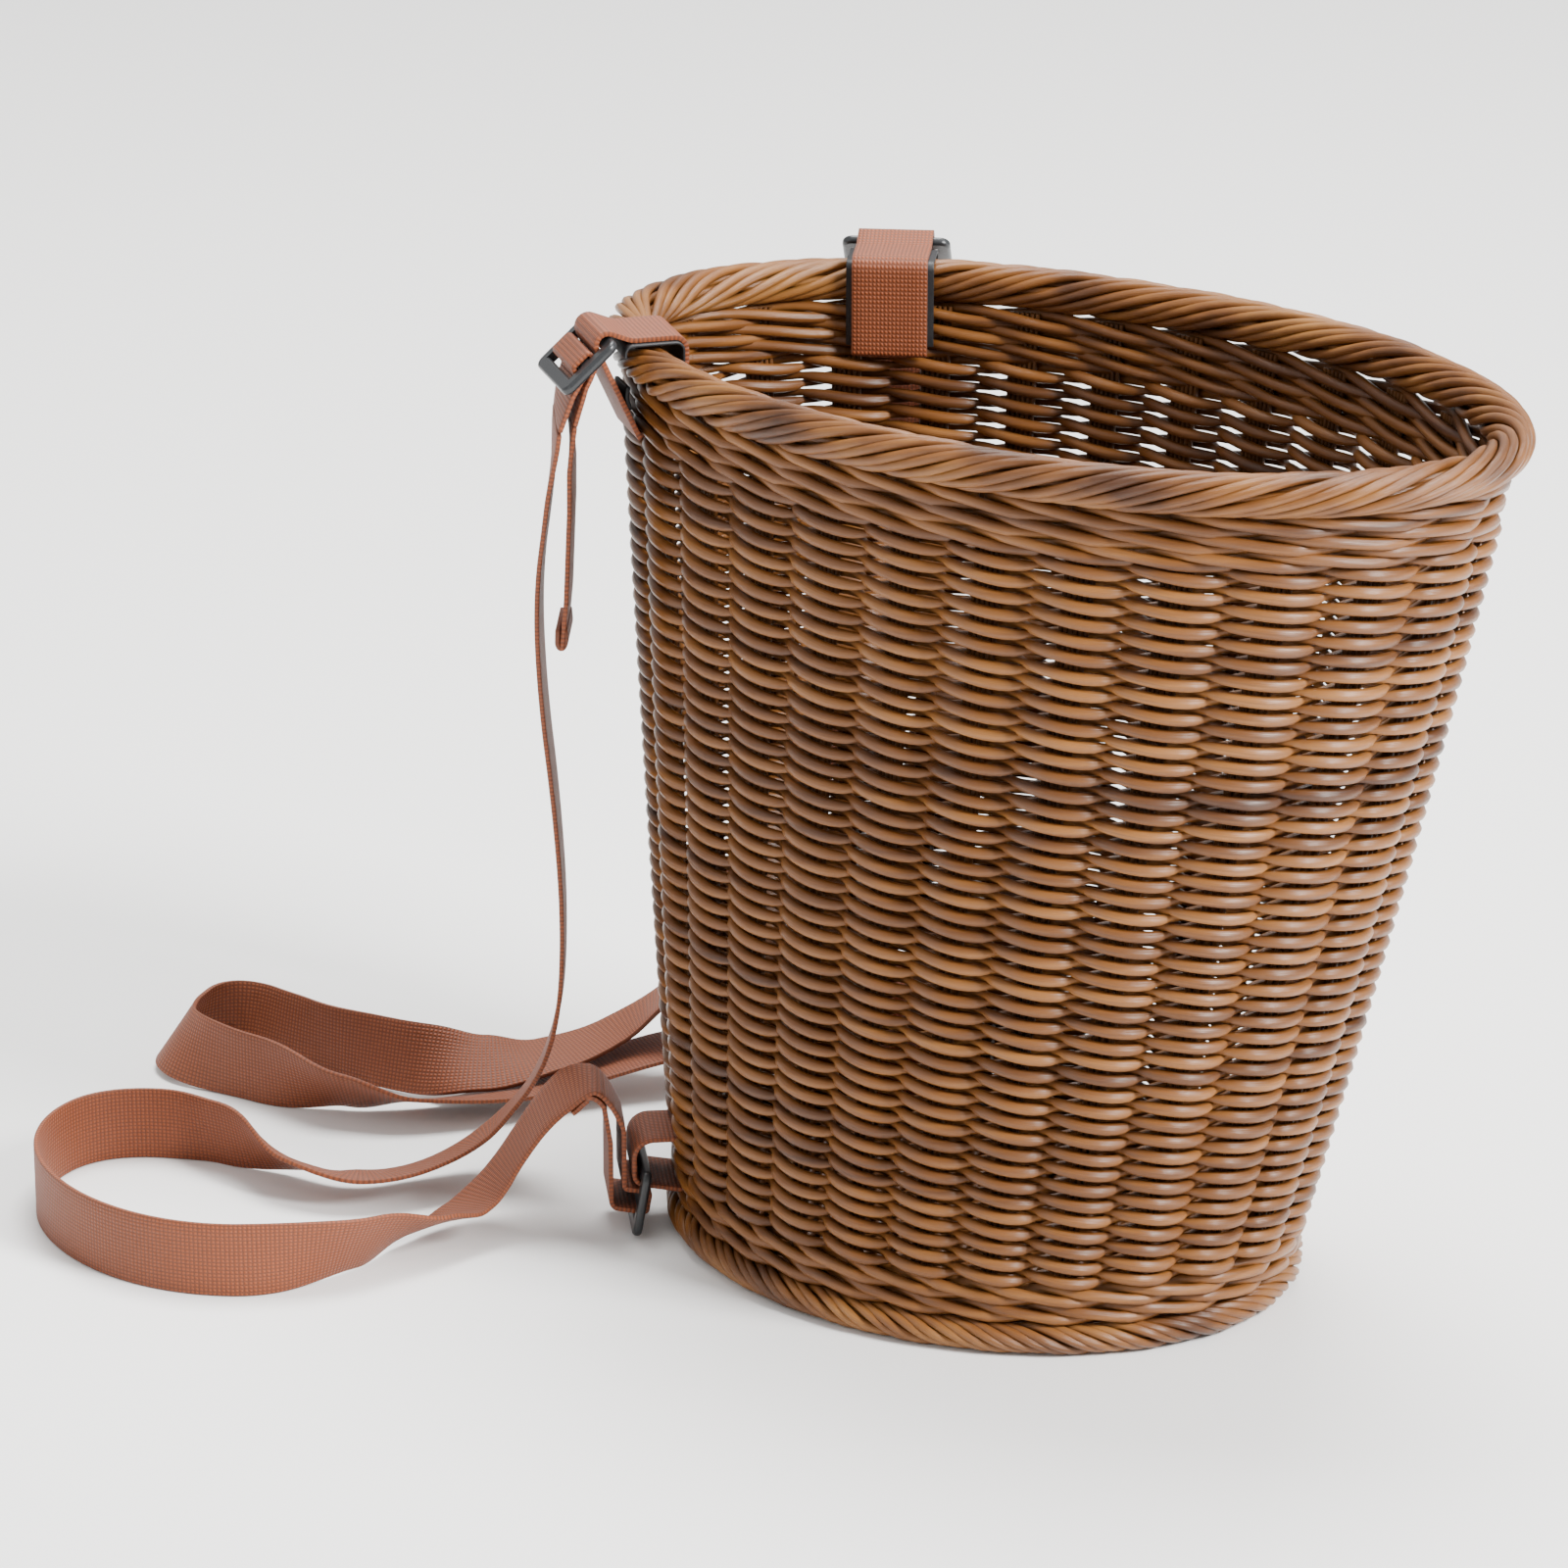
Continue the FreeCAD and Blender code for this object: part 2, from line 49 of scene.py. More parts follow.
# a long lens, in millimetres, with its place in metres and its turn and dip in degrees
viewPoint = {"place": (-1.5426, -1.1682, 0.8437), "turn": -50.32, "down": 19.373,
             "lens": 147.19, "sensor": 36.0}

cameraData = bpy.data.cameras.new("camera")
cameraData.lens = viewPoint["lens"]
cameraData.sensor_width = viewPoint["sensor"]
cameraData.clip_end = 20
camera = bpy.data.objects.new("camera", cameraData)
camera.location = viewPoint["place"]
camera.rotation_euler = (radians(90 - viewPoint["down"]), 0, radians(viewPoint["turn"]))
bpy.context.collection.objects.link(camera)
bpy.context.scene.camera = camera
print("camera set")


def linear(hexColour):
    values = [int(hexColour[i:i + 2], 16) / 255 for i in (1, 3, 5)]
    return tuple(v / 12.92 if v < 0.04045 else ((v + 0.055) / 1.055) ** 2.4 for v in values) + (1.0,)


def addNode(material, kind, settings=None, links=None):
    node = material.node_tree.nodes.new(kind)
    for name, value in (settings or {}).items():
        setattr(node, name, value)
    for name, value in (links or {}).items():
        if isinstance(value, bpy.types.NodeSocket):
            material.node_tree.links.new(value, node.inputs[name])
        else:
            node.inputs[name].default_value = value
    return node


def newMaterial(name, roughness, ior=1.5):
    material = bpy.data.materials.new(name)
    material.use_nodes = True
    shader = material.node_tree.nodes["Principled BSDF"]
    shader.inputs["Roughness"].default_value = roughness
    shader.inputs["IOR"].default_value = ior
    return material, shader


strandLook = {"dark": "#42240E", "mid": "#6C411A", "light": "#8A5A2B", "roughness": 0.32,
              "streak": 35, "drawLine": 0.175, "length": 700, "girth": 12.25}  # the sizes in millimetres


def resinStrand(name, look, rows=(3, 3, 170)):
    # extruded polyethylene strand: a soft gloss, with draw lines 0.175 mm apart and about 35 mm long;
    # rows is how often the tint changes in a metre: by default once in 5.9 mm of height, near one row
    material, shader = newMaterial(name, look["roughness"], 1.51)
    shader.inputs["Specular IOR Level"].default_value = 0.38
    links = material.node_tree.links
    coords = addNode(material, "ShaderNodeTexCoord")
    stretched = addNode(material, "ShaderNodeMapping", {},
                        {"Vector": coords.outputs["Object"], "Scale": rows})
    rowTint = addNode(material, "ShaderNodeTexNoise", {},
                      {"Vector": stretched.outputs[0], "Scale": 1.0, "Detail": 3.0})
    tint = addNode(material, "ShaderNodeValToRGB", {}, {0: rowTint.outputs[0]})
    ramp = tint.color_ramp
    ramp.elements[0].position, ramp.elements[0].color = 0.30, linear(look["dark"])
    ramp.elements[1].position, ramp.elements[1].color = 0.72, linear(look["light"])
    ramp.elements.new(0.5).color = linear(look["mid"])
    # U runs the length of the strand and V round it
    drawn = (look["length"] / look["streak"], look["girth"] / look["drawLine"], 1)
    along = addNode(material, "ShaderNodeMapping", {}, {"Vector": coords.outputs["UV"], "Scale": drawn})
    lines = addNode(material, "ShaderNodeTexNoise", {},
                    {"Vector": along.outputs[0], "Scale": 1.0, "Detail": 2.0})
    shade = addNode(material, "ShaderNodeMapRange", {},
                    {0: lines.outputs[0], 1: 0.3, 2: 0.7, 3: 0.70, 4: 1.14})
    colour = addNode(material, "ShaderNodeVectorMath", {"operation": "SCALE"},
                     {0: tint.outputs[0], "Scale": shade.outputs[0]})
    links.new(colour.outputs[0], shader.inputs["Base Color"])
    rough = addNode(material, "ShaderNodeMapRange", {},
                    {0: lines.outputs[0], 1: 0.3, 2: 0.7,
                     3: look["roughness"] + 0.12, 4: look["roughness"] - 0.06})
    links.new(rough.outputs[0], shader.inputs["Roughness"])
    bump = addNode(material, "ShaderNodeBump", {},
                   {"Strength": 0.5, "Distance": 0.0003, "Height": lines.outputs[0]})
    links.new(bump.outputs[0], shader.inputs["Normal"])
    return material


# the darker colour is painted shade for the hollows between the ribs and cords
webbingLook = {"thread": "#853F16", "grooveShade": "#4E240A", "rib": 1.45, "cord": 1.3, "roughness": 0.62}


def wovenWebbing(name, look):
    # woven polypropylene webbing: ribs 1.45 mm apart and cords 1.3 mm apart, with a low sheen;
    # its UV is in millimetres, and a wave texture at a scale of 2 pi / 20 repeats once a millimetre
    material, shader = newMaterial(name, look["roughness"], 1.49)
    links = material.node_tree.links
    shader.inputs["Sheen Weight"].default_value = 0.04
    coords = addNode(material, "ShaderNodeTexCoord")
    across = addNode(material, "ShaderNodeTexWave", {"wave_type": "BANDS", "bands_direction": "X"},
                     {"Vector": coords.outputs["UV"], "Scale": 2 * pi / 20 / look["cord"]})
    along = addNode(material, "ShaderNodeTexWave", {"wave_type": "BANDS", "bands_direction": "Y"},
                    {"Vector": coords.outputs["UV"], "Scale": 2 * pi / 20 / look["rib"]})
    grid = addNode(material, "ShaderNodeMath", {"operation": "MULTIPLY"},
                   {0: across.outputs[1], 1: along.outputs[1]})
    fibre = addNode(material, "ShaderNodeTexNoise", {},  # fibres about 0.6 mm apart
                    {"Vector": coords.outputs["UV"], "Scale": 1.7, "Detail": 4.0})
    # fibre noise is the threads' own tone; the grid darkens the hollows between ribs and cords as painted
    # shade, and the same mix is the bump's height
    reliefAndGrooveShade = addNode(material, "ShaderNodeMath", {"operation": "MULTIPLY_ADD"},
                   {0: fibre.outputs[0], 1: 0.5, 2: grid.outputs[0]})
    tint = addNode(material, "ShaderNodeValToRGB", {}, {0: reliefAndGrooveShade.outputs[0]})
    ramp = tint.color_ramp
    ramp.elements[0].position, ramp.elements[0].color = 0.12, linear(look["grooveShade"])
    ramp.elements[1].position, ramp.elements[1].color = 0.75, linear(look["thread"])
    links.new(tint.outputs[0], shader.inputs["Base Color"])
    bump = addNode(material, "ShaderNodeBump", {},
                   {"Strength": 0.6, "Distance": 0.0004, "Height": reliefAndGrooveShade.outputs[0]})
    links.new(bump.outputs[0], shader.inputs["Normal"])
    return material


def mouldedPlastic(name, colour, roughness, grit):
    # moulded acetal or calendered vinyl: satin black, its grain drawn at 0.5 or 0.8 mm, coarser than real
    material, shader = newMaterial(name, roughness, 1.48)
    links = material.node_tree.links
    coords = addNode(material, "ShaderNodeTexCoord")
    grain = addNode(material, "ShaderNodeTexNoise", {},
                    {"Vector": coords.outputs["Object"], "Scale": 1000 / grit, "Detail": 3.0})
    tint = addNode(material, "ShaderNodeValToRGB", {}, {0: grain.outputs[0]})
    tint.color_ramp.elements[0].color = linear(colour[0])
    tint.color_ramp.elements[1].color = linear(colour[1])
    links.new(tint.outputs[0], shader.inputs["Base Color"])
    bump = addNode(material, "ShaderNodeBump", {},
                   {"Strength": 0.25, "Distance": 0.0002, "Height": grain.outputs[0]})
    links.new(bump.outputs[0], shader.inputs["Normal"])
    return material


wallStrand = resinStrand("extrudedResinStrand", strandLook)
borderLook = {**strandLook, "mid": "#72461F", "light": "#90612F"}
borderStrand = resinStrand("extrudedResinBorderRod", borderLook, (26, 26, 60))
# the stake rods and base sticks take a darker copy of the strand's colours: painted shade for where they lie
# between and under the strands
shadedRodLook = {**strandLook, "dark": "#3E210B", "mid": "#5F3916", "light": "#7C4F25"}
shadedRodStrand = resinStrand("extrudedResinStakeRod", shadedRodLook, (90, 90, 4))
webbing = wovenWebbing("wovenPolypropyleneWebbing", webbingLook)
bucklePlastic = mouldedPlastic("mouldedAcetalBlack", ("#17181A", "#2A2C2E"), 0.34, 0.5)
linerBlack = mouldedPlastic("calenderedVinylBlack", ("#0E0E10", "#1C1C1E"), 0.5, 0.8)
print("materials made")

# the wall's own shape, in millimetres
wall = {"height": 305.0, "footHalf": (82.6, 103.6), "rimHalf": (92.9, 155.9),
        "forward": 27.5,  # how far the rim's middle lies in front of the foot's
        "belly": 0.03, "stakes": 26}


def ovalAt(z):
    share = z / wall["height"]
    reach = share + 4 * wall["belly"] * share * (1 - share)
    halfX = wall["footHalf"][0] + (wall["rimHalf"][0] - wall["footHalf"][0]) * reach
    halfY = wall["footHalf"][1] + (wall["rimHalf"][1] - wall["footHalf"][1]) * reach
    return halfX, halfY, wall["forward"] * (1 - reach)


arcTables = {}


def angleAt(share, z):  # equal shares of the girth, from the back round by the right-hand side
    key = round(z)
    steps = 720
    if key not in arcTables:
        halfX, halfY = ovalAt(key)[:2]
        run = [0.0]
        for i in range(steps):
            t = (i + 0.5) * 2 * pi / steps
            run.append(run[-1] + hypot(halfX * cos(t), halfY * sin(t)))
        table = []
        i = 0
        for k in range(steps + 1):
            goal = run[-1] * k / steps
            while i < steps - 1 and run[i + 1] < goal:
                i += 1
            table.append((i + (goal - run[i]) / (run[i + 1] - run[i])) * 2 * pi / steps)
        arcTables[key] = table
    whole = floor(share)
    place = (share - whole) * steps
    i = min(int(place), steps - 1)
    table = arcTables[key]
    return table[i] + (table[i + 1] - table[i]) * (place - i)


def onWall(share, z, out):  # a point on the wall's middle line, moved outwards
    angle = angleAt(share, z)
    halfX, halfY, middle = ovalAt(z)
    normal = Vector((sin(angle) / halfX, cos(angle) / halfY, 0)).normalized()
    return Vector((halfX * sin(angle), middle + halfY * cos(angle), z)) + normal * out


def strandPiece(name, strands, thick, sides, material, nodes):
    # strands: (points in mm, radius shares, closed); one swept mesh for all of them
    curve = bpy.data.curves.new(name, "CURVE")
    curve.dimensions = "3D"
    curve.bevel_depth = thick / 2 * mm
    curve.bevel_resolution = (sides - 4) // 2
    curve.use_fill_caps = True
    for points, shares, closed in strands:
        spline = curve.splines.new("POLY")
        spline.points.add(len(points) - 1)
        for place, point, share in zip(spline.points, points, shares):
            place.co = (point[0] * mm, point[1] * mm, point[2] * mm, 1)
            place.radius = share
        spline.use_cyclic_u = closed
    holder = bpy.data.objects.new(name + "Curve", curve)
    bpy.context.collection.objects.link(holder)
    bpy.context.view_layer.update()
    mesh = bpy.data.meshes.new_from_object(holder)
    bpy.data.objects.remove(holder)
    mesh.name = name
    mesh.materials.clear()
    mesh.materials.append(material)
    piece = bpy.data.objects.new(name, mesh)
    bpy.context.collection.objects.link(piece)
    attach(piece, "basket")
    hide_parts(*nodes)


def flatStrip(name, line, across, widths, thick, closed=False, edge=0.35):
    # a webbing strip: a grid laid along the line (metres), given its thickness and soft edges
    columns = 6
    rows = len(line)
    strip = bmesh.new()
    bmesh.ops.create_grid(strip, x_segments=columns, y_segments=rows - 1, size=0.5, calc_uvs=True)
    run = [0.0]
    for a, b in zip(line, line[1:]):
        run.append(run[-1] + (b - a).length / mm)
    uvLayer = strip.loops.layers.uv.verify()
    for face in strip.faces:
        for loop in face.loops:
            i = round((loop.vert.co.y + 0.5) * (rows - 1))
            loop[uvLayer].uv = ((loop.vert.co.x + 0.5) * widths[i], run[i])
    for vert in strip.verts:
        i = round((vert.co.y + 0.5) * (rows - 1))
        vert.co = line[i] + across[i] * (vert.co.x * widths[i] * mm)
    if closed:
        bmesh.ops.remove_doubles(strip, verts=strip.verts, dist=0.00005)
    mesh = bpy.data.meshes.new(name)
    strip.to_mesh(mesh)
    strip.free()
    piece = bpy.data.objects.new(name, mesh)
    bpy.context.collection.objects.link(piece)
    thickness = piece.modifiers.new("thickness", "SOLIDIFY")
    thickness.thickness = thick * mm
    thickness.offset = 0
    edges = piece.modifiers.new("edges", "BEVEL")
    edges.width = edge * mm
    edges.segments = 2
    edges.limit_method = "ANGLE"
    edges.angle_limit = radians(55)
    bpy.context.view_layer.update()
    final = bpy.data.meshes.new_from_object(piece.evaluated_get(bpy.context.evaluated_depsgraph_get()))
    final.name = name
    piece.modifiers.clear()
    piece.data = final
    final.materials.clear()
    final.materials.append(webbing)
    final.shade_smooth()
    return piece


def squareTo(line, across):  # the width direction, kept square to the run of the line
    out = []
    last = len(line) - 1
    for i, point in enumerate(line):
        run = (line[min(i + 1, last)] - line[max(i - 1, 0)]).normalized()
        wide = across[i] - run * across[i].dot(run)
        if wide.length < 0.05:
            wide = out[-1] - run * out[-1].dot(run)
        wide.normalize()
        out.append(wide)
    return out


# the two shoulder straps: routes in metres, widths and thicknesses in millimetres
straps = {
    "left": {
        "route": [
            (-0.0864, 0.1331, 0.2796), (-0.0855, 0.1375, 0.2539), (-0.0830, 0.1455, 0.2212),
            (-0.0770, 0.1495, 0.1835), (-0.0695, 0.1505, 0.1417), (-0.0640, 0.1525, 0.1010),
            (-0.0600, 0.1585, 0.0640), (-0.0590, 0.1705, 0.0370), (-0.0680, 0.1835, 0.0170),
            (-0.0880, 0.1915, 0.0090), (-0.1090, 0.2015, 0.0080), (-0.1190, 0.2195, 0.0100),
            (-0.1170, 0.2495, 0.0127), (-0.1230, 0.2815, 0.0127), (-0.1430, 0.2995, 0.0127),
            (-0.1700, 0.2945, 0.0127), (-0.1940, 0.2735, 0.0127), (-0.2080, 0.2395, 0.0127),
            (-0.2070, 0.2045, 0.0127), (-0.1910, 0.1755, 0.0127), (-0.1620, 0.1605, 0.0127),
            (-0.1330, 0.1580, 0.0100), (-0.1125, 0.1570, 0.0085), (-0.0990, 0.1545, 0.0155),
            (-0.0905, 0.1495, 0.0295), (-0.0840, 0.1435, 0.0420), (-0.0775, 0.1370, 0.0500),
            (-0.0710, 0.1300, 0.0515), (-0.0675, 0.1255, 0.0378)],
        # the way the width points, at some of the route's points
        "width": {0: (-0.69, -0.703, 0), 0.55: (-0.79, -0.61, 0), 6: (-0.76, -0.63, 0.15),
                  7: (-0.73, -0.64, 0.25), 8: (-0.60, -0.75, 0.28), 10: (-0.76, -0.60, 0.25),
                  11: (-0.80, -0.40, 0.42), 12.3: (-0.2, 0, 1), 13: (0, 0, 1), 19: (0, 0, 1),
                  20.5: (0, -0.5, 0.85), 21.5: (-0.1, -0.85, 0.5), 22.5: (-0.35, -0.9, 0.2),
                  23.3: (-0.6, -0.8, 0), 24.2: (-0.69, -0.7, -0.14), 26: (-0.69, -0.7, -0.2),
                  27.2: (-0.699, -0.715, 0), 28: (-0.699, -0.715, 0)},
        "length": 0.801, "hang": (-0.79, -0.61)},
    "right": {
        "route": [
            (0.0864, 0.1331, 0.2796), (0.0900, 0.1405, 0.2499), (0.0910, 0.1495, 0.2142),
            (0.0880, 0.1555, 0.1765), (0.0800, 0.1595, 0.1377), (0.0660, 0.1655, 0.0980),
            (0.0510, 0.1775, 0.0620), (0.0430, 0.1935, 0.0360), (0.0300, 0.2085, 0.0190),
            (0.0080, 0.2185, 0.0130), (-0.0140, 0.2305, 0.0127), (-0.0270, 0.2515, 0.0127),
            (-0.0325, 0.2815, 0.0127), (-0.0345, 0.3080, 0.0127), (-0.0340, 0.3295, 0.0127),
            (-0.0440, 0.3410, 0.0127), (-0.0600, 0.3410, 0.0127), (-0.0705, 0.3295, 0.0127),
            (-0.0710, 0.3030, 0.0127), (-0.0670, 0.2675, 0.0127), (-0.0550, 0.2445, 0.0090),
            (-0.0360, 0.2285, 0.0060), (-0.0150, 0.2185, 0.0060), (0.0080, 0.2085, 0.0090),
            (0.0320, 0.1930, 0.0150), (0.0580, 0.1800, 0.0150), (0.0790, 0.1660, 0.0210),
            (0.0860, 0.1510, 0.0350), (0.0795, 0.1390, 0.0480), (0.0715, 0.1305, 0.0515),
            (0.0675, 0.1255, 0.0378)],
        "width": {0: (-0.559, 0.829, 0), 3: (-0.559, 0.829, 0), 5: (0.05, 1, 0.1),
                  7: (0.757, 0.653, -0.05), 8: (0.6, 0.78, 0), 9: (0.6, 0.78, 0.1), 10: (0.5, 0.6, 0.42),
                  11.3: (0.2, 0.25, 0.93), 12.3: (0.05, 0, 1), 13: (0.2, -0.25, 0.94),
                  14.5: (0.36, -0.42, 0.82), 17: (0.36, -0.42, 0.82), 18.4: (0, -0.1, 1),
                  19.6: (-0.5, -0.5, 0.7), 20.6: (-0.7, -0.6, 0.38), 23: (-0.6, -0.78, 0.02),
                  24.5: (-0.5, -0.85, 0), 26: (-0.65, -0.75, 0), 27: (-0.97, -0.2, 0),
                  28: (-0.82, 0.55, 0), 29: (-0.699, 0.715, 0), 30: (-0.699, 0.715, 0)},
        "length": 0.764, "hang": (-0.559, 0.829)}}
strap = {"width": 25.0, "thick": 1.5,
         "endShare": 0.975,  # the main piece's share of the route; the rest belongs to the doubled end
         "doubled": (0.925, 0.988), "doubledGap": 2.1,  # where the end lies under itself, and how far below
         # heights in metres between which the strap and its tail go over to the upper slide's motion
         "swayFrom": 0.200, "tailSwayFrom": 0.190, "swayTo": 0.285,
         "lowerSwayFrom": 0.955,  # the share of the route where it starts to follow the lower slide
         "hangFrom": 296, "hangOver": 30}  # heights over which it turns to hang, below the upper slide


def routeLine(name, route):  # points read from the route's own NURBS spline
    curve = bpy.data.curves.new(name, "CURVE")
    curve.dimensions = "3D"
    curve.resolution_u = 10
    spline = curve.splines.new("NURBS")
    spline.points.add(len(route) - 1)
    for place, point in zip(spline.points, route):
        place.co = (*point, 1)
    spline.order_u = 3
    spline.use_endpoint_u = True
    holder = bpy.data.objects.new(name, curve)
    bpy.context.collection.objects.link(holder)
    bpy.context.view_layer.update()
    mesh = bpy.data.meshes.new_from_object(holder)
    line = [v.co.copy() for v in mesh.vertices]
    bpy.data.objects.remove(holder)
    if (line[0] - Vector(route[0])).length > (line[-1] - Vector(route[0])).length:
        line.reverse()
    return line


def turned(keys, index):  # the width's direction at a place on the route, eased between the keys
    marks = sorted(keys)
    if index <= marks[0]:
        return Vector(keys[marks[0]]).normalized()
    for a, b in zip(marks, marks[1:]):
        if index <= b:
            share = (index - a) / (b - a)
            share = share * share * (3 - 2 * share)
            return Vector(keys[a]).normalized().lerp(Vector(keys[b]).normalized(), share).normalized()
    return Vector(keys[marks[-1]]).normalized()


# the buckles' places, in millimetres: n runs outwards through the wall
anchorFacts = {"upper": {"across": 63.63, "back": 117.69, "out": (0.8292362, 0.5588983)},
               "lower": {"across": 51.73, "back": 110.16, "out": (0.7152603, 0.6988581)}}
anchors = {where: {side: {"middle": (sign * facts["across"], facts["back"]),
                          "out": (sign * facts["out"][0], facts["out"][1]),
                          "side": (-facts["out"][1], sign * facts["out"][0])}
                   for side, sign in (("left", -1), ("right", 1))}
           for where, facts in anchorFacts.items()}
slides = {"upper": {"n": 14.0, "z": 306.3, "tilt": radians(-42), "slots": (6.0, 13.1)},
          "lower": {"n": 15.0, "z": 21.5, "tilt": radians(-80), "slots": (5.9, 13.1)}}
standOff = 2.6  # how far the webbing's middle line lies from a slide's middle plane, over a bar


def onSlide(slide, u, v):  # u along the slide, v square to its face
    return (slide["n"] + u * cos(slide["tilt"]) - v * sin(slide["tilt"]),
            slide["z"] + u * sin(slide["tilt"]) + v * cos(slide["tilt"]))


def throughSlot(slide, u, n):
    return onSlide(slide, u, (slide["n"] + u * cos(slide["tilt"]) - n) / sin(slide["tilt"]))


def rounded(corners, closed=False, step=14):
    # corners (n, z, radius) joined by straight runs, each corner an arc of its radius
    count = len(corners)
    line = []
    for i, (n, z, radius) in enumerate(corners):
        if radius == 0 or (not closed and i in (0, count - 1)):
            line.append((n, z))
            continue
        before = corners[i - 1]
        after = corners[(i + 1) % count]
        a = Vector((before[0] - n, before[1] - z)).normalized()
        b = Vector((after[0] - n, after[1] - z)).normalized()
        half = a.angle(b) / 2
        back = radius / tan(half)
        centre = Vector((n, z)) + (a + b).normalized() * (radius / sin(half))
        start = Vector((n, z)) + a * back - centre
        turn = start.angle_signed(Vector((n, z)) + b * back - centre)
        parts = max(2, round(abs(turn) * 180 / pi / step))
        for k in range(parts + 1):
            angle = -turn * k / parts
            line.append((centre.x + start.x * cos(angle) - start.y * sin(angle),
                         centre.y + start.x * sin(angle) + start.y * cos(angle)))
    if closed:
        line.append(line[0])
    return line


def divided(line, longest):  # long straight runs get points in between, for the weave and the bends
    out = [line[0]]
    for a, b in zip(line, line[1:]):
        parts = max(1, round(hypot(b[0] - a[0], b[1] - a[1]) / longest))
        for k in range(1, parts + 1):
            out.append((a[0] + (b[0] - a[0]) * k / parts, a[1] + (b[1] - a[1]) * k / parts))
    return out


def anchored(place, line):
    (x, y), (outX, outY) = place["middle"], place["out"]
    return [Vector((x + outX * n, y + outY * n, z)) * mm for n, z in line]


def anchorStrip(name, place, line, width, thick, closed=False, edge=0.35, twist=None):
    points = anchored(place, line)
    across = [Vector((*place["side"], 0))] * len(points)
    if twist:  # turns to hang another way, below the slide
        across = [a.lerp(Vector((*twist, 0)),
                         max(0.0, min(1.0, (strap["hangFrom"] - z) / strap["hangOver"]))).normalized()
                  for a, (n, z) in zip(across, line)]
    widths = [width(*p) for p in line] if callable(width) else [width] * len(points)
    return flatStrip(name, points, across, widths, thick, closed, edge)


for side, facts in straps.items():
    line = routeLine("route" + side, facts["route"])
    count = len(facts["route"]) - 1
    across = squareTo(line, [turned(facts["width"], i / (len(line) - 1) * count) for i in range(len(line))])
    cut = int(len(line) * strap["endShare"])
    upper, lower = anchors["upper"][side], anchors["lower"][side]
    upperBody, lowerBody = "upper_buckle_" + side, "lower_buckle_" + side

    # the fold of strap held by the upper slide, up through one slot, over its bar and down the other
    slide = slides["upper"]
    inner, outer = slide["slots"]
    foldLine = [(22.8, 280.4, 0), (20.6, 292.5, 5), (*onSlide(slide, inner, -1.7), 1.2),
                (*onSlide(slide, inner, standOff), 1.2), (*onSlide(slide, outer, standOff), 1.2),
                (*onSlide(slide, outer, -standOff), 1.6), (24.6, 290, 5), (27.5, 278.9, 0)]
    upperFold = anchorStrip("strapFoldUpper_" + side, upper, divided(rounded(foldLine), 3),
                            strap["width"], strap["thick"], twist=facts["hang"])
    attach(upperFold, upperBody)
    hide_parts("strap_fold_upper_" + side)

    # the tail that hangs from the fold, and the hem turned over at its end, a little narrower
    tailLine = [(22.8, 280.3, 0), (23.1, 252, 60), (24.5, 222, 60), (26.1, 206.5, 0)]
    tail = anchorStrip("strapTail_" + side, upper, divided(rounded(tailLine), 4),
                       strap["width"], strap["thick"], twist=facts["hang"])
    hemLine = [(25.0, 213.5, 0), (24.6, 208.5, 3), (26.3, 206.3, 1.0), (27.6, 208.6, 3), (27.4, 213.5, 0)]
    hem = anchorStrip("tailHem_" + side, upper, divided(rounded(hemLine), 2),
                      strap["width"] - 0.4, strap["thick"], twist=facts["hang"])
    for piece in (tail, hem):
        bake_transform(piece)
    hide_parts("strap_tail_" + side)

    # the strap's last stretch, through the lower slide and back under itself
    under = []
    for i in range(*(int(len(line) * share) for share in strap["doubled"])):
        run = (line[i + 1] - line[i - 1]).normalized()
        inwards = run.cross(across[i])  # down, under the arch
        under.append((line[i] + inwards * (strap["doubledGap"] * mm), across[i]))
    slide = slides["lower"]
    inner, outer = slide["slots"]
    outerLeg, innerLeg = 26.4, 22
    loopLine = [(outerLeg, 33, 0), (*throughSlot(slide, outer, outerLeg), 3),
                (*onSlide(slide, outer, -standOff), 1.2), (*onSlide(slide, inner, -standOff), 1.2),
                (*throughSlot(slide, inner, innerLeg), 1.4), (innerLeg, 36, 0)]
    loopPoints = anchored(lower, divided(rounded(loopLine), 3))
    sideways = Vector((*lower["side"], 0))
    endPoints = [p for p, w in under] + loopPoints + list(reversed(line[cut:]))
    endAcross = [w for p, w in under] + [sideways] * len(loopPoints) + list(reversed(across[cut:]))
    strapEnd = flatStrip("strapEndLower_" + side, endPoints, squareTo(endPoints, endAcross),
                         [strap["width"]] * len(endPoints), strap["thick"])
    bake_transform(strapEnd)
    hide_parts("strap_fold_lower_" + side)

    main = flatStrip("shoulderStrap_" + side, line[:cut + 1], across[:cut + 1],
                     [strap["width"]] * (cut + 1), strap["thick"])
    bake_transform(main)
    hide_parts("strap_" + side)
    measured = sum((b - a).length for a, b in zip(line, line[1:]))
    print("strap", side, "laid, its line is", round(measured, 4), "m")

# webbing loops through the wall, and the liners over the rim
loops = {"width": 25.0, "thick": 1.6, "throughWall": 13.0, "linerWidth": 29.0, "linerThick": 0.8,
         "linerEndWidth": 14.0, "linerEndThick": 1.6,
         "gatherBelow": 280.0, "gatherOver": 4, "gatherBetween": (-11.0, 3)}


def upperWidth(n, z):  # gathered to half its width where it passes between the stakes
    inside, outside = loops["gatherBetween"]
    if not inside < n < outside:
        return loops["width"]
    near = max(0.0, min(1.0, (loops["gatherBelow"] - z) / loops["gatherOver"]))
    return loops["width"] + (loops["throughWall"] - loops["width"]) * near


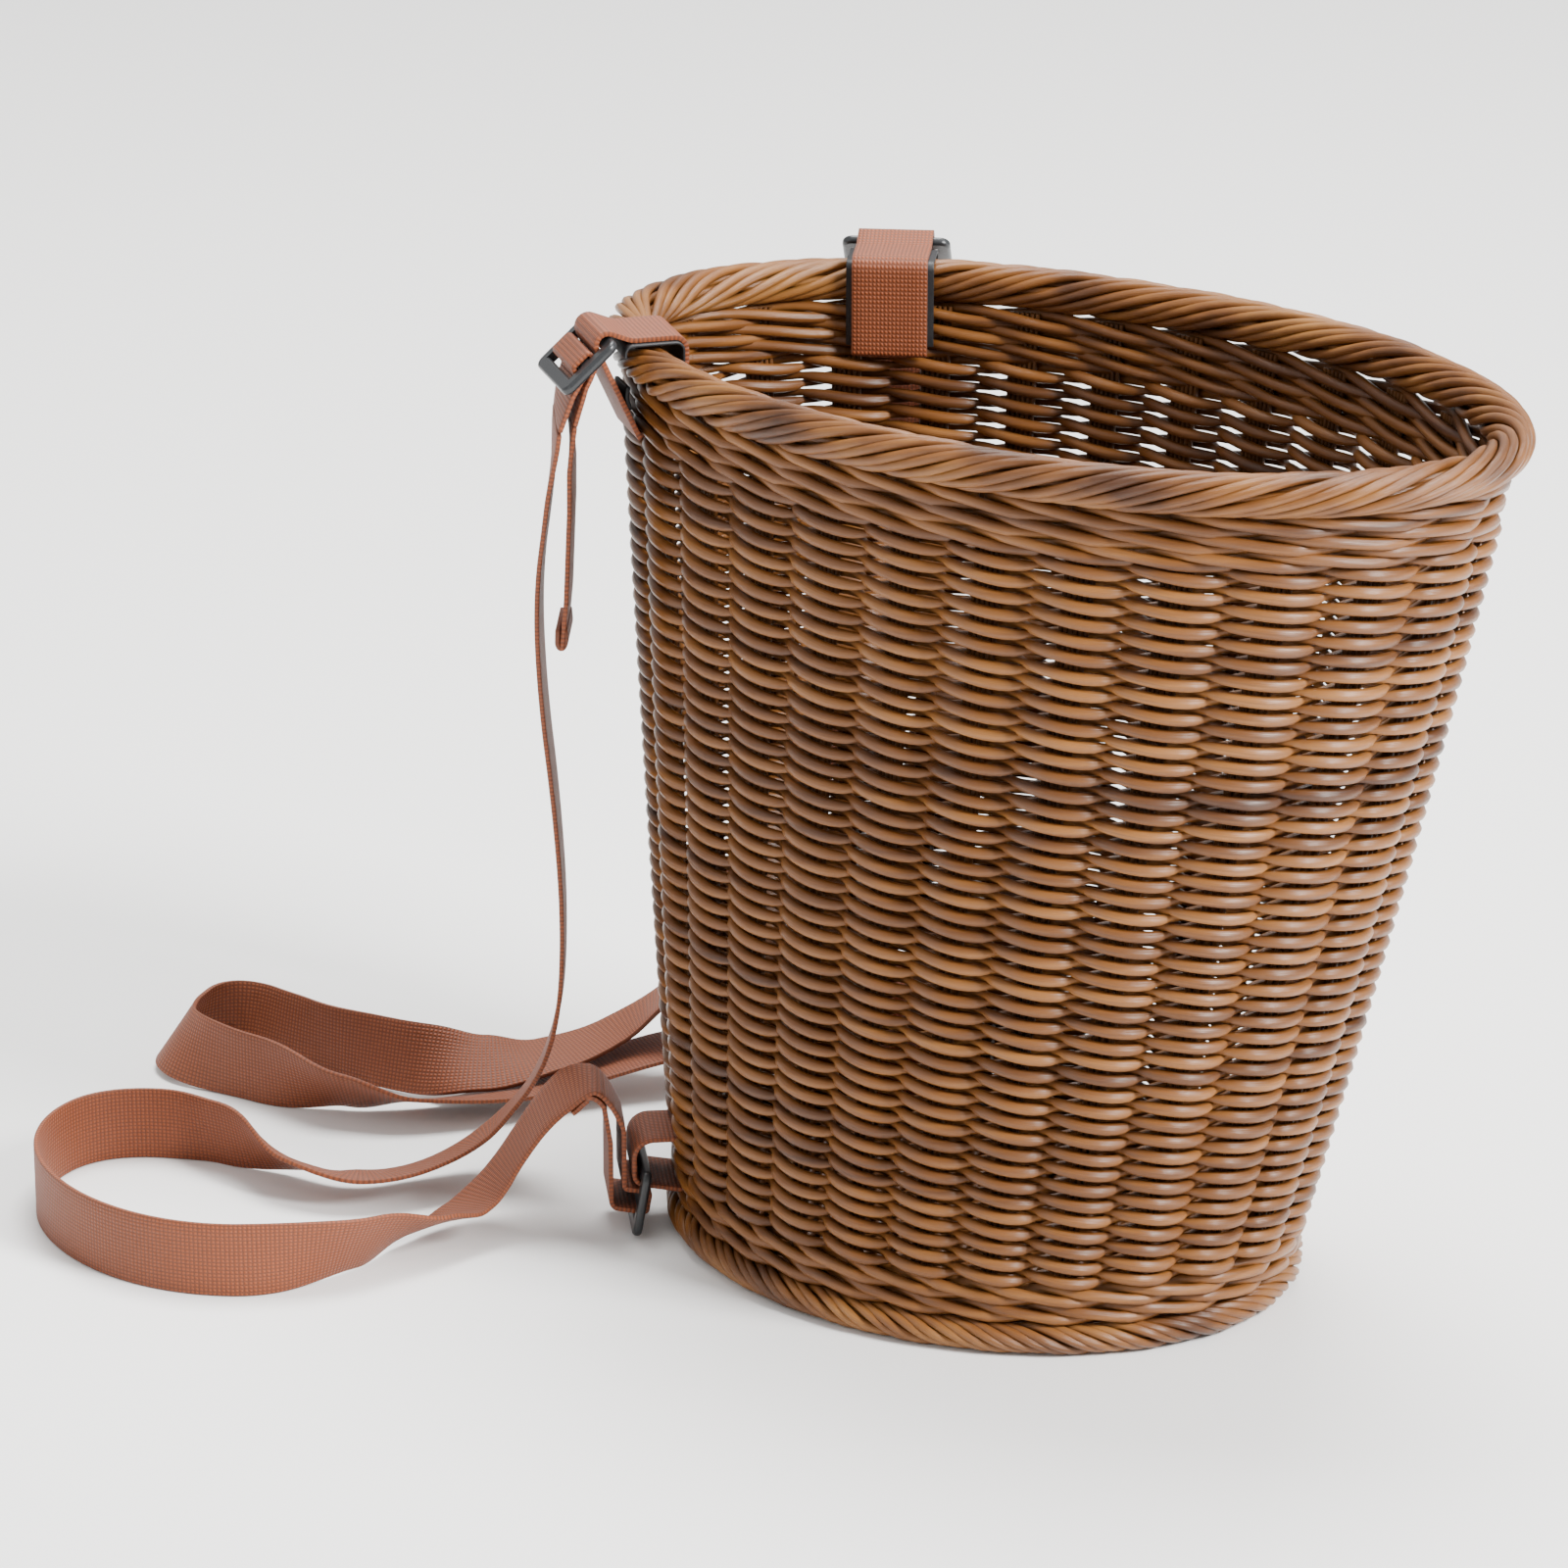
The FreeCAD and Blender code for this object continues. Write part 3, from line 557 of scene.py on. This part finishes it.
for side in ("left", "right"):
    place = anchors["upper"][side]
    linerLine = [(-10.3, 277.4, 0), (-10.3, 305.7, 2.5), (8.6, 305.7, 2.5), (8.6, 302, 0)]
    liner = anchorStrip("linerStrip_" + side, place, divided(rounded(linerLine), 4),
                        loops["linerWidth"], loops["linerThick"], False, 0.2)
    endLine = [(6.0, 290.5, 0), (6.6, 287, 6), (5.4, 282.8, 0)]  # it comes out again under the rim
    linerEnd = anchorStrip("linerEnd_" + side, place, divided(rounded(endLine), 2),
                           loops["linerEndWidth"], loops["linerEndThick"], False, 0.4)
    for piece in (liner, linerEnd):
        piece.data.materials[0] = linerBlack
    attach(linerEnd, "basket")
    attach(liner, "basket")
    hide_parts("liner_" + side)
    loopLine = [(-11.65, 274.2, 1.6), (-11.65, 307.05, 3.8), (6, 307.05, 6), (21.1, 313.05, 3.64),
                (3.4, 274.2, 2.4)]
    loop = anchorStrip("webbingLoopUpper_" + side, place, divided(rounded(loopLine, True), 2.5),
                       upperWidth, loops["thick"], True)
    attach(loop, "basket")
    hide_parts("anchor_webbing_upper_" + side)
    place = anchors["lower"][side]
    slide = slides["lower"]
    inside, outside, barReach = -8.1, 18.64, 3.64  # it runs inside the wall and round the slide's near bar
    loopLine = [(*throughSlot(slide, barReach, inside), 1.6), (inside, 33.6, 1.6), (outside, 33.6, 6.5),
                (*throughSlot(slide, barReach, outside), barReach)]
    loop = anchorStrip("webbingLoopLower_" + side, place, divided(rounded(loopLine, True), 2.5),
                       loops["width"], loops["thick"], True)
    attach(loop, "basket")
    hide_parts("anchor_webbing_lower_" + side)
    for where in ("upper", "lower"):
        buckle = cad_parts["buckle_" + where + "_" + side]
        buckle.data.materials.clear()
        buckle.data.materials.append(bucklePlastic)
print("loops and liners made")

# the woven wall: pairs of strands that pass each other between the stakes
weave = {"rows": 44, "pitch": 5.66, "from": 24.0, "thick": 4.1, "swing": 4.3, "rise": 1.35, "parts": 10,
         "pinch": 0.4,  # how much a strand thins where it passes its partner
         "fullness": 0.75, "uneven": (0.16, 0.1)}
strands = {0: [], 1: []}
for row in range(weave["rows"]):
    z = weave["from"] + (row + 0.5) * weave["pitch"]
    for k in (0, 1):
        points, shares = [], []
        for i in range(wall["stakes"] * weave["parts"]):
            u = i / weave["parts"]
            swing = cos(pi * (u - k))
            swing = abs(swing) ** weave["fullness"] * (1 if swing > 0 else -1)
            wobble = (weave["uneven"][0] * sin(0.97 * u + row * row * 2.3)
                      + weave["uneven"][1] * sin(2.63 * u + row * row * 1.7 + k))
            height = z + weave["rise"] * sin(pi * (u - k)) + wobble
            points.append(onWall(u / wall["stakes"], height, weave["swing"] * swing))
            shares.append(1 - weave["pinch"] * (1 - abs(swing)) ** 2)
        strands[k].append((points, shares, True))
for k, name in ((0, "outer"), (1, "inner")):
    strandPiece("pairingWeave_" + name, strands[k], weave["thick"], 8, wallStrand,
                ["body_weave_" + name])
print("wall woven")

# the walings: in each row three strands, each outside about two stakes and then inside about one
waling = {"periods": 9, "swing": 3.7, "rise": 2.0, "thick": 3.8, "parts": 20, "strands": 3,
          "stagger": 0.37, "steep": 1.15, "outwards": 0.25}
for name, heights in (("upper", (275.9, 281.6, 287.2)), ("lower", (14.3, 20.6))):
    rows = []
    for row, z in enumerate(heights):
        for k in range(waling["strands"]):
            points = []
            count = waling["periods"] * waling["parts"]
            for i in range(count):
                turnAt = i / waling["parts"] + k / waling["strands"] + row * waling["stagger"]
                swing = waling["steep"] * cos(2 * pi * turnAt) + waling["outwards"]
                out = waling["swing"] * max(-1.0, min(1.0, swing))
                points.append(onWall(i / count, z + waling["rise"] * sin(2 * pi * turnAt), out))
            rows.append((points, [1.0] * len(points), True))
    strandPiece("waling_" + name, rows, waling["thick"], 8, wallStrand, [name + "_waling"])
print("walings laid")

# the borders: rods rolled round a core, in groups that lie closer together
borders = {
    "rim": {"z": 297.5, "out": 2.5, "wide": 5.7, "tall": 5.6, "rods": 10, "group": 2, "thick": 3.2,
            "turns": -8, "core": 4, "parts": 480},
    "foot": {"z": 5.5, "out": 2.9, "wide": 3.75, "tall": 3.75, "rods": 8, "group": 2, "thick": 3.0,
             "turns": 12, "core": 1, "parts": 420}}
rolling = {"closer": 0.2, "sway": 0.1, "swell": 0.05, "coreReach": 0.42, "coreParts": 200, "coreSize": 1.15}
for name, rope in borders.items():
    rods = []
    for k in range(rope["rods"]):
        points = []
        for i in range(rope["parts"]):
            share = i / rope["parts"]
            inGroup = (k % rope["group"] - (rope["group"] - 1) / 2) * rolling["closer"]
            angle = (2 * pi * (rope["turns"] * share + (k - inGroup) / rope["rods"])
                     + rolling["sway"] * sin(2 * pi * (5 * share + k // 2 * 0.31)))
            swell = 1 + rolling["swell"] * sin(2 * pi * (13 * share + k // 2 * 0.7))
            points.append(onWall(share, rope["z"] + rope["tall"] * swell * sin(angle),
                                 rope["out"] + rope["wide"] * swell * cos(angle)))
        rods.append((points, [1.0] * len(points), True))
    for k in range(rope["core"]):
        reach = rope["wide"] * rolling["coreReach"] if rope["core"] > 1 else 0
        angle = 2 * pi * k / rope["core"]
        points = []
        for i in range(rolling["coreParts"]):
            points.append(onWall(i / rolling["coreParts"], rope["z"] + reach * sin(angle),
                                 rope["out"] + reach * cos(angle)))
        rods.append((points, [rolling["coreSize"]] * len(points), True))
    strandPiece(name + "Border", rods, rope["thick"], 8, borderStrand, [name + "_border"])
print("borders rolled")

# each stake: six rods, bunched two deep at the foot and spread side by side at the rim
stakes = {"rods": 6, "thick": 1.7, "low": 11.3, "high": 289.7, "steps": 24,
          "footPitch": (1.75, 0.88), "rimPitch": 1.74}
for stake in range(wall["stakes"]):
    rods = []
    for rod in range(stakes["rods"]):
        column, layer = rod // 2 - 1, (rod % 2) * 2 - 1
        foot = (column * stakes["footPitch"][0], layer * stakes["footPitch"][1])
        rim = ((rod - 2.5) * stakes["rimPitch"], 0.0)
        points = []
        for i in range(stakes["steps"] + 1):
            share = i / stakes["steps"]
            z = stakes["low"] + (stakes["high"] - stakes["low"]) * share
            spread = foot[0] + (rim[0] - foot[0]) * share
            out = foot[1] + (rim[1] - foot[1]) * share
            around = 2 * pi * (ovalAt(z)[0] + ovalAt(z)[1]) / 2  # the girth, near enough
            points.append(onWall(stake / wall["stakes"] + spread / around, z, out))
        rods.append((points, [1.0] * len(points), False))
    number = "%02d" % (stake + 1)
    strandPiece("stakeRods_" + number, rods, stakes["thick"], 6, shadedRodStrand, ["stake_" + number])
print("stakes set")

# the base: rows woven in pairs over groups of three sticks, with its own edge against the foot
base = {"half": (78.6, 99.6), "middleY": 27.5, "z": 6.2, "sticks": 7, "stickPitch": 22.0,
        "stickSpread": (-2, 0, 2), "stickThick": 1.9, "stickInset": 3, "inset": 1.5,
        "rows": 34, "swing": 3.2, "lift": 1.1, "thick": 3.2,
        "edge": ((-0.2, 4.4), (0.3, 6.9), (-0.2, 9.4)), "edgeSize": 0.9, "edgeParts": 120}
sticks = []
for k in range(base["sticks"]):
    x = (k - (base["sticks"] - 1) / 2) * base["stickPitch"]
    for offset in base["stickSpread"]:
        sideways = (abs(x) + base["stickInset"]) / base["half"][0]
        reach = base["half"][1] * (1 - sideways ** 2) ** 0.5 - base["inset"]
        points = [Vector((x + offset, base["middleY"] + reach * (i / 10 - 1), base["z"])) for i in range(21)]
        sticks.append((points, [1.0] * 21, False))
strandPiece("baseSticks", sticks, base["stickThick"], 6, shadedRodStrand, ["base_sticks"])
rows = []
for row in range(base["rows"]):
    y = (row + 0.5) / base["rows"] * 2 - 1
    reach = base["half"][0] * max(0.0, 1 - y * y) ** 0.5 - base["inset"]
    for k in (0, 1):
        points = []
        for i in range(41):
            x = reach * (i / 20 - 1)
            swing = cos(pi * (x / base["stickPitch"] + k))
            lift = base["lift"] * sin(pi * (x / base["stickPitch"] + k))
            points.append(Vector((x, base["middleY"] + y * (base["half"][1] - base["inset"]) + lift,
                                  base["z"] + base["swing"] * swing)))
        rows.append((points, [1.0] * 41, False))
for outwards, z in base["edge"]:
    points = []
    for i in range(base["edgeParts"]):
        angle = 2 * pi * i / base["edgeParts"]
        points.append(Vector(((base["half"][0] + outwards) * sin(angle),
                              base["middleY"] + (base["half"][1] + outwards) * cos(angle), z)))
    rows.append((points, [base["edgeSize"]] * len(points), True))
strandPiece("baseWeave", rows, base["thick"], 6, wallStrand, ["base_weave"])
print("base woven")

# a matt painted floor and soft light, for the view only
floorMaterial, floorShader = newMaterial("paintedStudioFloor", 0.6)
floorShader.inputs["Base Color"].default_value = linear("#F4F3F1")
floorMesh = bmesh.new()
bmesh.ops.create_grid(floorMesh, x_segments=1, y_segments=1, size=6)
floorData = bpy.data.meshes.new("floor")
floorMesh.to_mesh(floorData)
floorMesh.free()
floorData.materials.append(floorMaterial)
floorPiece = bpy.data.objects.new("floor", floorData)
bpy.context.collection.objects.link(floorPiece)

lights = [
    {"name": "keyLight", "place": (0.25, -2.55, 2.0), "size": 0.9, "power": 270},
    {"name": "topLight", "place": (0.6, 0.4, 2.8), "size": 1.4, "power": 150},
    {"name": "fillLight", "place": (-2.4, 0.8, 1.4), "size": 1.6, "power": 12}]
lightAim = (0, 0.05, 0.15)
for facts in lights:
    data = bpy.data.lights.new(facts["name"], "AREA")
    data.shape = "SQUARE"
    data.size = facts["size"]
    data.energy = facts["power"]
    lamp = bpy.data.objects.new(facts["name"], data)
    lamp.location = facts["place"]
    towards = Vector(lightAim) - Vector(facts["place"])
    lamp.rotation_euler = towards.to_track_quat("-Z", "Y").to_euler()
    bpy.context.collection.objects.link(lamp)
world = bpy.data.worlds.new("studio")
world.use_nodes = True
world.node_tree.nodes["Background"].inputs[0].default_value = (1, 1, 1, 1)
world.node_tree.nodes["Background"].inputs[1].default_value = 0.8
bpy.context.scene.world = world
print("lit")
